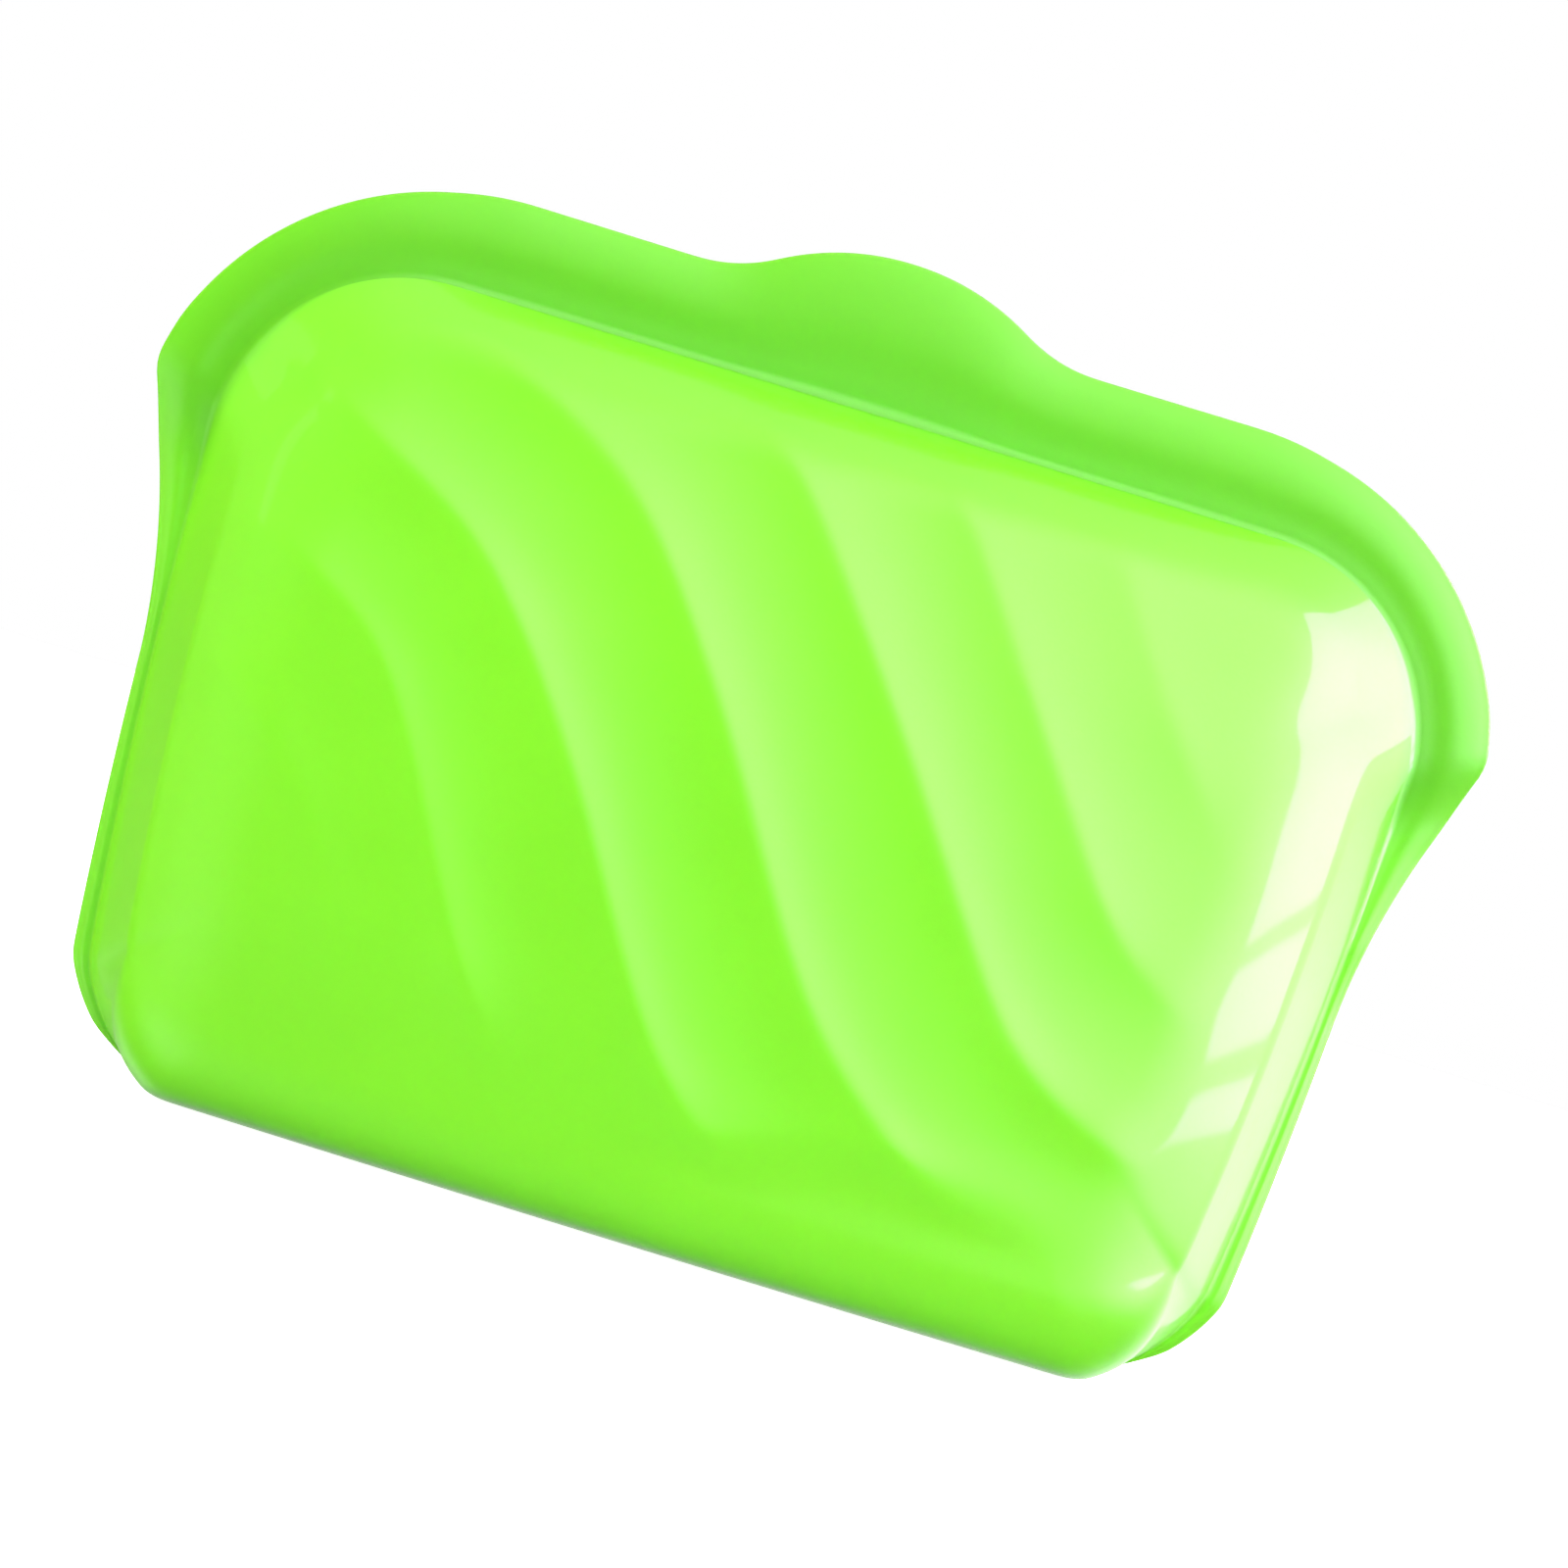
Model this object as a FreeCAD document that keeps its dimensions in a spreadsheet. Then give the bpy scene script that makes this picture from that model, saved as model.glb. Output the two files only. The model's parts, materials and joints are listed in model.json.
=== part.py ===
"""A free-standing silicone food pouch with a press-to-close mouth.

X runs across the pouch, Y from front (-Y) to back (+Y) and Z up from the surface that it stands on.
The front and back halves mirror each other about Y = 0, so each shared piece is drawn once, on the
back, and mirrored. Each half of the mouth swings on a line between the two ears.
"""

import FreeCAD, Part
import Sketcher
import math
import os

Vector = FreeCAD.Vector

# Driving dimensions, in millimetres and degrees.
SIZES = {
    # the pouch, seen from the front
    "base_half_width": 69.0,
    "foot_corner_half_width": 84.3,
    "foot_corner_height": 15.5,
    "foot_corner_radius": 28.0,
    "keel_run": 19.0,
    "keel_drop": 8.0,
    "shoulder_half_width": 90.0,
    "shoulder_height": 96.0,
    "side_bow_radius": 800.0,
    "top_corner_radius": 28.0,
    "side_draft": 12.0,
    # the pouch, seen from the side
    "base_depth": 38.0,
    "edge_radius": 11.0,
    "front_bow_radius": 270.0,
    "shoulder_depth": 12.5,
    "plan_bow_radius": 480.0,
    "face_fillet": 4.0,
    # silicone
    "wall": 1.6,
    "lip_thickness": 2.0,
    "half_gap": 1.6,
    # side rims
    "rim_end_half_width": 82.8,
    "rim_foot_half_width": 86.9,
    "rim_foot_height": 16.0,
    "rim_middle_half_width": 90.4,
    "rim_middle_height": 62.0,
    "rim_sweep_radius": 110.0,
    # the mouth
    "hinge_height": 92.0,
    "hinge_half_width": 97.0,
    "relief_slope": 0.58,
    "ear_half_width": 100.0,
    "ear_height": 101.5,
    "ear_radius": 20.0,
    "lip_corner_half_width": 97.2,
    "lip_corner_height": 112.0,
    "lip_corner_radius": 47.0,
    "lip_flat_half_width": 56.0,
    "lip_height": 138.2,
    "tab_half_width": 28.0,
    "tab_shoulder_half_width": 18.5,
    "tab_shoulder_height": 141.5,
    "tab_root_radius": 18.0,
    "tab_crown_radius": 37.4,
    # the closure
    "zip_end_height": 98.0,
    "zip_straight_half_width": 62.0,
    "zip_radius": 32.0,
    "rib_thickness": 2.6,
    "rib_length": 2.8,
    "rail_thickness": 1.4,
    "rail_length": 2.7,
    "zip_clearance": 0.35,
    "stop_inner_half_width": 90.6,
    "stop_half_width": 96.4,
    "stop_height": 5.0,
    "stop_fillet": 1.5,
    "stop_clearance": 0.3,
    # tool blocks reach this far past the pouch
    "reach": 130.0,
}

doc = FreeCAD.newDocument("SiliconePouch")
sheet = doc.addObject("Spreadsheet::Sheet", "Sizes")
for row, (alias, number) in enumerate(SIZES.items(), start=1):
    sheet.set(f"A{row}", alias)
    sheet.set(f"B{row}", str(number))
    sheet.setAlias(f"B{row}", alias)
doc.recompute()


class Length:
    """A size that carries its value and the sheet expression that it comes from."""

    def __init__(self, value, text):
        self.value = value
        self.text = text

    def __add__(self, other):
        return Length(self.value + number_of(other), f"({self.text} + {text_of(other)})")

    def __sub__(self, other):
        return Length(self.value - number_of(other), f"({self.text} - {text_of(other)})")

    def __mul__(self, other):
        return Length(self.value * number_of(other), f"({self.text} * {text_of(other)})")

    def __neg__(self):
        return Length(-self.value, f"(-{self.text})")


def number_of(size):
    """The value of a Length or a plain number."""
    return size.value if isinstance(size, Length) else float(size)


def text_of(size):
    """The expression of a Length or a plain number."""
    return size.text if isinstance(size, Length) else repr(float(size))


def size(alias):
    """The named cell of the sheet."""
    return Length(float(sheet.get(alias)), f"Sizes.{alias}")


def bind(target, **sizes):
    """Binds properties of an object to sizes. A double underscore stands for a dot."""
    for name, amount in sizes.items():
        target.setExpression(name.replace("__", "."), text_of(amount))
    return target


# ---------------------------------------------------------------- sketches


def add_edge(sketch, start, end, radius):
    """A straight edge, or an arc that bulges to the right of its direction (left if negative)."""
    first = Vector(number_of(start[0]), number_of(start[1]), 0)
    last = Vector(number_of(end[0]), number_of(end[1]), 0)
    if radius is None:
        return sketch.addGeometry(Part.LineSegment(first, last), False)
    bend = number_of(radius)
    chord = last - first
    left = Vector(-chord.y, chord.x, 0).normalize()
    rise = math.sqrt(bend * bend - chord.Length * chord.Length / 4)
    centre = (first + last) * 0.5 + left * math.copysign(rise, bend)
    if bend < 0:
        first, last = last, first
    angles = [math.atan2(point.y - centre.y, point.x - centre.x) for point in (first, last)]
    if angles[1] < angles[0]:
        angles[1] += 2 * math.pi
    circle = Part.Circle(centre, Vector(0, 0, 1), abs(bend))
    return sketch.addGeometry(Part.ArcOfCircle(circle, *angles), False)


def ends_of(radius):
    """The sketch's numbers for an edge's first and last point: arcs always run anticlockwise."""
    backwards = radius is not None and number_of(radius) < 0
    return (2, 1) if backwards else (1, 2)


def closed_outline(sketch, corners):
    """Draws corners (across, up, radius of the edge that follows) and binds every one of them."""
    edges = []
    for index, (across, up, radius) in enumerate(corners):
        following = corners[(index + 1) % len(corners)]
        edges.append(add_edge(sketch, (across, up), following[:2], radius))
    for index, (across, up, radius) in enumerate(corners):
        edge = edges[index]
        start = ends_of(radius)[0]
        end_before = ends_of(corners[index - 1][2])[1]
        sketch.addConstraint(Sketcher.Constraint("Coincident", edges[index - 1], end_before, edge, start))
        for kind, amount, axis in (("DistanceX", across, -2), ("DistanceY", up, -1)):
            if number_of(amount) == 0:
                sketch.addConstraint(Sketcher.Constraint("PointOnObject", edge, start, axis))
                continue
            value = number_of(amount)
            added = sketch.addConstraint(Sketcher.Constraint(kind, -1, 1, edge, start, value))
            sketch.setExpression(f"Constraints[{added}]", text_of(amount))
        if radius is not None:
            bend = abs(number_of(radius))
            added = sketch.addConstraint(Sketcher.Constraint("Radius", edge, bend))
            sketch.setExpression(f"Constraints[{added}]", f"abs({text_of(radius)})")


def mirrored_corners(right, bottom_radius=None, top_radius=None):
    """A whole outline, anticlockwise, from its right half, given from bottom to top."""
    left = []
    for index in range(len(right) - 1, -1, -1):
        across, up, _ = right[index]
        radius = bottom_radius if index == 0 else right[index - 1][2]
        left.append((-across, up, radius))
    across, up, _ = right[-1]
    return right[:-1] + [(across, up, top_radius)] + left


def body_with_outline(name, plane_role, corners):
    """A body with one sketch of an outline on one of its origin planes."""
    body = doc.addObject("PartDesign::Body", name)
    sketch = body.newObject("Sketcher::SketchObject", f"{name}_outline")
    plane = next(f for f in body.Origin.OriginFeatures if f.Role == plane_role)
    sketch.AttachmentSupport = [(plane, "")]
    sketch.MapMode = "FlatFace"
    closed_outline(sketch, corners)
    return body, sketch


def side_sketch(name, corners):
    """A sketch of an outline in the YZ plane."""
    sketch = doc.addObject("Sketcher::SketchObject", name)
    across, up, out = Vector(0, 1, 0), Vector(0, 0, 1), Vector(1, 0, 0)
    sketch.Placement = FreeCAD.Placement(Vector(), FreeCAD.Rotation(across, up, out, "XYZ"))
    closed_outline(sketch, corners)
    return sketch


def plate(name, corners, start, thickness):
    """A plate in the XZ plane, from Y = start backwards by its thickness."""
    body, sketch = body_with_outline(name, "XZ_Plane", corners)
    bind(sketch, AttachmentOffset__Base__z=-(start + thickness))
    pad = body.newObject("PartDesign::Pad", f"{name}_pad")
    pad.Profile = sketch
    bind(pad, Length=thickness)
    return body


# ---------------------------------------------------------------- solids and booleans


def boolean(kind, name, base, tool):
    """A Part cut, common or fusion of two objects."""
    joined = doc.addObject(f"Part::{kind}", name)
    joined.Base = base
    joined.Tool = tool
    joined.Refine = True
    return joined


def block(name, low, high):
    """A box between two corners, each a triple of sizes."""
    box = doc.addObject("Part::Box", name)
    bind(box, Length=high[0] - low[0], Width=high[1] - low[1], Height=high[2] - low[2])
    bind(box, Placement__Base__x=low[0], Placement__Base__y=low[1], Placement__Base__z=low[2])
    return box


def mirror(name, source):
    """The same shape on the other side of Y = 0."""
    turned = doc.addObject("Part::Mirroring", name)
    turned.Source = source
    turned.Normal = Vector(0, 1, 0)
    return turned


def rounded_edges(name, source, radius, wanted):
    """Rounds the edges whose lowest and highest corners satisfy wanted."""
    doc.recompute()
    edges = []
    for index, edge in enumerate(source.Shape.Edges, start=1):
        points = edge.discretize(9)
        low = Vector(min(p.x for p in points), min(p.y for p in points), min(p.z for p in points))
        high = Vector(max(p.x for p in points), max(p.y for p in points), max(p.z for p in points))
        if wanted(low, high):
            edges.append((index, radius, radius))
    rounded = doc.addObject("Part::Fillet", name)
    rounded.Base = source
    rounded.Edges = edges
    doc.recompute()
    return rounded


# ---------------------------------------------------------------- the pouch's two forms

ZERO = Length(0.0, "0")
REACH = size("reach")
WALL = size("wall")
GAP = size("half_gap")
HINGE = size("hinge_height")
EDGE = size("edge_radius")
TOP = size("shoulder_height") + size("top_corner_radius")


def front_outline(inset):
    """The pouch's outline from the front, inside its outer surface by inset.

    It runs on below the foot, where the side profile cuts it off flat.
    """
    return mirrored_corners([
        (size("base_half_width") - size("keel_run") - inset, ZERO + inset - size("keel_drop"), None),
        (size("base_half_width") - inset, ZERO + inset, size("foot_corner_radius") - inset),
        (size("foot_corner_half_width") - inset, size("foot_corner_height"), size("side_bow_radius")),
        (size("shoulder_half_width") - inset, size("shoulder_height"), size("top_corner_radius") - inset),
        (size("shoulder_half_width") - size("top_corner_radius"), TOP - inset, None),
    ])


def side_outline(inset):
    """The pouch's back half from the side, inside its outer surface by inset."""
    return [
        (ZERO, ZERO + inset, None),
        (size("base_depth") * 0.5, ZERO + inset, EDGE - inset),
        (size("base_depth") * 0.5 + EDGE - inset, EDGE, size("front_bow_radius")),
        (size("shoulder_depth") - inset, TOP, None),
        (ZERO, TOP, None),
    ]


def pouch_form(name, inset):
    """The solid back half of the pouch: its drafted outline cut to its bowed side profile."""
    body, sketch = body_with_outline(f"{name}_block", "XZ_Plane", front_outline(inset))
    pad = body.newObject("PartDesign::Pad", f"{name}_pad")
    pad.Profile = sketch
    pad.Reversed = True
    bind(pad, Length=size("base_depth"))
    pad.TaperAngle = -float(sheet.get("side_draft"))
    bind(pad, TaperAngle=-size("side_draft"))

    bowed = doc.addObject("Part::Revolution", f"{name}_bowed")
    bowed.Source = side_sketch(f"{name}_profile", side_outline(inset))
    bowed.Axis = Vector(0, 0, 1)
    bowed.Angle = 40
    bowed.Symmetric = True
    bowed.Solid = True
    bind(bowed, Base__y=-size("plan_bow_radius"))
    rough = boolean("Common", f"{name}_rough", body, bowed)
    radius = number_of(size("face_fillet") - inset)
    return rounded_edges(name, rough, radius, lambda low, high: low.y > radius and high.z > number_of(EDGE) + 1)


# ---------------------------------------------------------------- shared blocks


def slab(name, bottom, top):
    """Everything behind the mouth gap between two heights, on the back half."""
    low = (-REACH, GAP, bottom)
    high = (REACH, REACH, top)
    return block(name, low, high)


def prism(name, corners):
    """An outline in the YZ plane, pulled out both ways along X."""
    outline = side_sketch(f"{name}_outline", corners)
    pulled = doc.addObject("Part::Extrusion", name)
    pulled.Base = outline
    pulled.DirMode = "Custom"
    pulled.Dir = Vector(1, 0, 0)
    pulled.Symmetric = True
    pulled.Solid = True
    bind(pulled, LengthFwd=REACH * 2)
    return pulled


def relief_height(back):
    """Height of the sloping cut that clears a half's swing, this far behind the mouth line."""
    return HINGE + back * size("relief_slope")


outer = pouch_form("outer_form", ZERO)
inner = pouch_form("inner_form", WALL)
shell = boolean("Cut", "shell", outer, inner)
below_relief = prism("below_relief", [
    (GAP, HINGE, None),
    (REACH, HINGE, None),
    (REACH, relief_height(REACH), None),
    (GAP, relief_height(GAP), None),
])
above_relief = prism("above_relief", [
    (GAP, relief_height(GAP), None),
    (REACH, relief_height(REACH), None),
    (REACH, HINGE + REACH, None),
    (GAP, HINGE + REACH, None),
])

pieces = {}


def keep(name, piece):
    """Names a finished sub-part."""
    piece.Label = name
    pieces[name] = piece
    return piece


def keep_pair(name, back):
    """Keeps a sub-part of the back half and its mirror at the front."""
    keep(f"back_{name}", back)
    keep(f"front_{name}", mirror(f"front_{name}", back))


# ---------------------------------------------------------------- the pouch below the ears


def make_base():
    """The foot: the lowest part of both trays in one, with its rounded edges."""
    back = boolean("Common", "base_back", shell, block("base_zone", (-REACH, ZERO, ZERO), (REACH, REACH, EDGE)))
    keep("base_panel", boolean("Fuse", "base_panel", back, mirror("base_front", back)))


def make_walls():
    """The domed walls, and the band of each that folds when its half of the mouth swings."""
    lower = boolean("Common", "back_wall_lower", shell, slab("lower_zone", EDGE, HINGE))
    keep_pair("wall_lower", lower)
    keep_pair("flex_band", boolean("Common", "back_flex_band", shell, below_relief))
    keep_pair("wall_upper", boolean("Common", "back_wall_upper", shell, above_relief))


def make_seams():
    """The thin rims where the two trays are bonded, from the foot up to the ears."""
    corners = mirrored_corners([
        (size("rim_end_half_width"), EDGE, None),
        (size("rim_foot_half_width"), size("rim_foot_height"), None),
        (size("rim_middle_half_width"), size("rim_middle_height"), -size("rim_sweep_radius")),
        (size("hinge_half_width"), HINGE, None),
    ])
    whole = plate("seam_plate", corners, -GAP, GAP * 2)
    inside = boolean("Fuse", "inside", inner, mirror("inner_front", inner))
    rims = boolean("Cut", "rims", whole, inside)
    for side, low, high in (("left", -REACH, ZERO), ("right", ZERO, REACH)):
        zone = block(f"{side}_zone", (low, -REACH, ZERO), (high, REACH, REACH))
        keep(f"{side}_side_seam", boolean("Common", f"{side}_side_seam", rims, zone))


def make_zip_stops():
    """The solid ends of the closure, which sit on top of the side seams."""
    depth = GAP - size("stop_clearance")
    near = size("stop_inner_half_width")
    far = size("stop_half_width")
    for side, low, high in (("left", -far, -near), ("right", near, far)):
        stop = block(f"{side}_stop_block", (low, -depth, HINGE), (high, depth, HINGE + size("stop_height")))
        doc.recompute()
        top = stop.Shape.BoundBox.ZMax - 1
        fillet = number_of(size("stop_fillet"))
        stop = rounded_edges(f"{side}_zip_stop", stop, fillet, lambda low, high: low.z > top and high.x - low.x < 1)
        keep(f"{side}_zip_stop", stop)


# ---------------------------------------------------------------- the mouth


def make_lips():
    """The arched flanges over the mouth, from ear to ear, and a finger tab on each."""
    corners = mirrored_corners([
        (size("hinge_half_width"), HINGE, None),
        (size("ear_half_width"), size("ear_height"), size("ear_radius")),
        (size("lip_corner_half_width"), size("lip_corner_height"), size("lip_corner_radius")),
        (size("lip_flat_half_width"), size("lip_height"), None),
    ])
    whole = plate("lip_plate", corners, GAP, size("lip_thickness"))
    arch = boolean("Cut", "lip_arch", whole, outer)
    keep_pair("lip", boolean("Common", "back_lip", arch, above_relief))

    corners = mirrored_corners([
        (size("tab_half_width"), size("lip_height"), -size("tab_root_radius")),
        (size("tab_shoulder_half_width"), size("tab_shoulder_height"), None),
    ], top_radius=size("tab_crown_radius"))
    keep_pair("tab", plate("back_tab", corners, GAP, size("lip_thickness")))


def zip_bead(name, radius, thickness, start, length):
    """A bead that follows the lip's arch: radius is to its middle line at the corners."""
    halves = []
    for edge, reach in (("outside", radius + thickness * 0.5), ("inside", radius - thickness * 0.5)):
        corners = mirrored_corners([
            (size("zip_straight_half_width") + reach, size("zip_end_height"), reach),
            (size("zip_straight_half_width"), size("zip_end_height") + reach, None),
        ])
        halves.append(plate(f"{name}_{edge}", corners, start, length))
    keep(name, boolean("Cut", name, *halves))


def make_closure():
    """The rib inside the front lip and the two rails inside the back lip that grip it."""
    rib = size("rib_thickness")
    rail = size("rail_thickness")
    middle = size("zip_radius")
    step = rib * 0.5 + size("zip_clearance") + rail * 0.5
    zip_bead("zip_rib", middle, rib, -GAP, size("rib_length"))
    for name, radius in (("zip_outer_rail", middle + step), ("zip_inner_rail", middle - step)):
        zip_bead(name, radius, rail, GAP - size("rail_length"), size("rail_length"))


# ---------------------------------------------------------------- making, checking and writing

make_base()
make_walls()
make_seams()
make_zip_stops()
make_lips()
make_closure()
doc.recompute()

for item in doc.Objects:
    if "Invalid" in item.State or "Error" in item.State:
        raise RuntimeError(f"{item.Name} failed: {item.State}")
for name, piece in pieces.items():
    shape = piece.Shape
    if shape.isNull() or not shape.isValid() or len(shape.Solids) != 1:
        raise RuntimeError(f"{name} is not one valid solid")
    print(f"{name}: {shape.Volume / 1000:.2f} cm3")

os.makedirs("parts", exist_ok=True)
for name, piece in pieces.items():
    piece.Shape.exportStep(f"parts/{name}.step")
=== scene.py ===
"""A lime green silicone food pouch: two moulded trays bonded round the edge, with a press-to-close mouth.

Lengths are in millimetres in the pouch's own frame (X across, Y to the back, Z up) until a mesh is made.
Each half of the pouch is one continuous skin, drawn as rings that follow its outline and a patch that
fills the middle of its face.
"""

import json
import math

import bmesh
import bpy
import numpy as np
from mathutils import Matrix, Vector


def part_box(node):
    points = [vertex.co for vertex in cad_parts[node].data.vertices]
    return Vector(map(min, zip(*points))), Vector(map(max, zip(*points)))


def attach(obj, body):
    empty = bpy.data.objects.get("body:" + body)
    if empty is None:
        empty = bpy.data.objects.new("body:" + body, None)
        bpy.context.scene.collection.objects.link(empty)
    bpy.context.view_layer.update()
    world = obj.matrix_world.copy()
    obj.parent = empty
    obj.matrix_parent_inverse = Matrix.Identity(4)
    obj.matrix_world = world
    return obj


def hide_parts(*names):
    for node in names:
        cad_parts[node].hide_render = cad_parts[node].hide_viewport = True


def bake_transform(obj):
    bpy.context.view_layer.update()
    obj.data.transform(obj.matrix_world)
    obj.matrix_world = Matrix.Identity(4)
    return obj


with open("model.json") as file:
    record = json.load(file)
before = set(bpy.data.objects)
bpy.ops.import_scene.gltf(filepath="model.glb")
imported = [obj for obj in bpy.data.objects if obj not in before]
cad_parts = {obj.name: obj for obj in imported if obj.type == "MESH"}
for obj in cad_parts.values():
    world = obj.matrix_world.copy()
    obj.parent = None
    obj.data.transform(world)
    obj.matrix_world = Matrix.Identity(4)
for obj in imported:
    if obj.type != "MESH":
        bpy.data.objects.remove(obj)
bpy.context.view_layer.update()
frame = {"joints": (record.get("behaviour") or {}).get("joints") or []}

MM = 0.001


def edge_mm(node, side, axis):
    """A node's lowest (side 0) or highest (side 1) place along an axis, in millimetres."""
    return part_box(node)[side][axis] / MM


HINGE = frame["joints"][0]["pos_m"][2] / MM
EAR = edge_mm("front_lip", 1, 0)
LIP_TOP = edge_mm("front_tab", 0, 2)
TAB_TOP = edge_mm("front_tab", 1, 2)
HALF_GAP = -edge_mm("front_lip", 1, 1)
LIP_THICKNESS = edge_mm("front_lip", 1, 1) - edge_mm("front_lip", 0, 1)
BELLY = edge_mm("back_wall_lower", 1, 1)
POUCH_TOP = 124.0

# ------------------------------------------------------------------ curves


def arc(start, end, radius=None, steps=40):
    """Points from start up to, not including, end: straight, or an arc that bulges to the right of the way.

    A negative radius bulges to the left.
    """
    start, end = np.array(start, float), np.array(end, float)
    if radius is None:
        return start + (end - start) * np.linspace(0, 1, steps, endpoint=False)[:, None]
    chord = end - start
    length = np.hypot(*chord)
    left = np.array([-chord[1], chord[0]]) / length
    rise = math.sqrt(radius * radius - length * length / 4)
    centre = (start + end) / 2 + left * math.copysign(rise, radius)
    first, last = (math.atan2(*(point - centre)[::-1]) for point in (start, end))
    turn = (last - first + math.pi) % (2 * math.pi) - math.pi
    angles = first + turn * np.linspace(0, 1, steps, endpoint=False)
    return centre + abs(radius) * np.stack([np.cos(angles), np.sin(angles)], 1)


def half_outline(corners):
    """An open line through corners, each (x, z, radius of the edge that follows it or None)."""
    parts = [arc(a[:2], b[:2], a[2]) for a, b in zip(corners, corners[1:])]
    return np.concatenate(parts + [np.array([corners[-1][:2]], float)])


def evenly(points, count):
    """The same open line with count evenly spaced points."""
    steps = np.hypot(*np.diff(points, axis=0).T)
    along = np.concatenate([[0], np.cumsum(steps)])
    places = np.linspace(0, along[-1], count)
    return np.stack([np.interp(places, along, points[:, axis]) for axis in (0, 1)], 1)


def closed_by_mirror(half, count):
    """A loop of count points, anticlockwise from the bottom middle, from its right half."""
    right = evenly(half, count // 2 + 1)
    left = right[1:-1][::-1] * [-1, 1]
    return np.concatenate([right, left])


def softened(loop, passes):
    """A loop with its corners eased."""
    for _ in range(passes):
        loop = loop / 2 + (np.roll(loop, 1, 0) + np.roll(loop, -1, 0)) / 4
    return loop


def smooth(low, high, value):
    """0 below low, 1 above high and a smooth rise between."""
    share = np.clip((value - low) / (high - low), 0, 1)
    return share * share * (3 - 2 * share)


def flowing(points, count=200):
    """A smooth line through a few points (Catmull-Rom)."""
    points = np.array(points, float)
    ends = [2 * points[0] - points[1], 2 * points[-1] - points[-2]]
    knots = np.concatenate([[ends[0]], points, [ends[1]]])
    line = []
    for index in range(1, len(knots) - 2):
        before, start, end, after = knots[index - 1:index + 3]
        share = np.linspace(0, 1, count // (len(points) - 1), endpoint=False)[:, None]
        line.append(0.5 * (2 * start + (end - before) * share
                           + (2 * before - 5 * start + 4 * end - after) * share ** 2
                           + (3 * start - before - 3 * end + after) * share ** 3))
    return np.concatenate(line + [points[-1:]])


# ------------------------------------------------------------------ the pouch's outlines

LOOP = 600
BASE_HALF = 69.0
MID_HEIGHT = POUCH_TOP / 2
CORNER = 28.0
SHOULDER_HALF = 90.0
STRAIGHT_HALF = SHOULDER_HALF - CORNER

# Right halves, from the bottom middle to the top middle. The pouch is inside the flange bonded round it.
pouch_half = half_outline([
    (0, 0, None),
    (BASE_HALF, 0, 28),
    (84.3, 15.5, 800),
    (SHOULDER_HALF, POUCH_TOP - CORNER, CORNER),
    (STRAIGHT_HALF, POUCH_TOP, None),
    (0, POUCH_TOP, None),
])
flange_half = half_outline([
    (0, 0, None),
    (BASE_HALF + 0.3, 0, 28),
    (86.9, 16, 900),
    (90.3, 61, -110),
    (96.6, 90, None),
    (EAR - 0.7, 98.4, 7),
    (EAR - 0.3, 104.5, 26),
    (97.2, 112, 45),
    (66, 136.9, 45),
    (54, LIP_TOP + 0.2, None),
    (30, LIP_TOP + 0.1, -22),
    (18.5, 141.6, 37),
    (0, TAB_TOP, None),
])
outline = closed_by_mirror(pouch_half, LOOP)
outline = softened(outline, 6)
outline[:, 1] -= outline[:, 1].min()
flange_outline = softened(closed_by_mirror(flange_half, 4 * LOOP), 40)

# Each ring point lies on a spoke from the outline to the middle line of the face.
spine = np.stack([np.clip(outline[:, 0] / STRAIGHT_HALF, -1, 1) * CORNER, np.full(LOOP, MID_HEIGHT)], 1)
spoke = (spine - outline) / MID_HEIGHT
outward = -spoke / np.hypot(*spoke.T)[:, None]


def reach_of(loop):
    """How far each spoke runs outwards from the outline before it meets a loop."""
    step = np.roll(loop, -1, 0) - loop
    reach = np.zeros(LOOP)
    for index in range(LOOP):
        way = outward[index]
        cross = way[0] * step[:, 1] - way[1] * step[:, 0]
        gap = loop - outline[index]
        along = (gap[:, 0] * step[:, 1] - gap[:, 1] * step[:, 0]) / cross
        share = (gap[:, 0] * way[1] - gap[:, 1] * way[0]) / cross
        hits = along[(share >= 0) & (share <= 1) & (along > -3)]
        reach[index] = hits.max() if len(hits) else 0
    return np.maximum(reach, 0)


# How far each place on the outline belongs to its top, its foot and its sides.
tangent = np.roll(outline, -1, 0) - np.roll(outline, 1, 0)
normal_up = -tangent[:, 0] / np.hypot(*tangent.T)
top_share = smooth(0.35, 0.9, normal_up)
foot_share = smooth(0.35, 0.95, -normal_up)
side_share = 1 - top_share - foot_share
shoulder_share = np.clip(1 - smooth(0.42, 0.94, normal_up) - foot_share, 0, 1)

# The bonded rim has no width under the foot, so the flange fades out round the lowest corners.
flange_width = reach_of(flange_outline) * smooth(1.0, 9.0, outline[:, 1])
flange_thickness = np.minimum(LIP_THICKNESS, flange_width * 0.8)
parting = HALF_GAP * smooth(HINGE - 4, HINGE + 8, outline[:, 1])

# ------------------------------------------------------------------ the face and its waves

BOW_RADIUS = 270.0
BOW_DEPTH = BELLY + 0.1 - BOW_RADIUS
BOW_HEIGHT = 27.1
PLAN_RADIUS = 480.0
# The face's edge lies at an inset from the outline, and the face rolls back before it by a drop over a width.
SIDE_EDGE, SIDE_DROP, SIDE_WIDTH = 6.5, 4.6, 17.0
TOP_EDGE, TOP_DROP, TOP_WIDTH = 2.5, 3.0, 9.0


def face_depth(x, z):
    """How far the face stands from the parting plane: bowed from foot to top and across."""
    profile = BOW_DEPTH + np.sqrt(BOW_RADIUS ** 2 - (z - BOW_HEIGHT) ** 2)
    return profile - x * x / (2 * PLAN_RADIUS)


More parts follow.
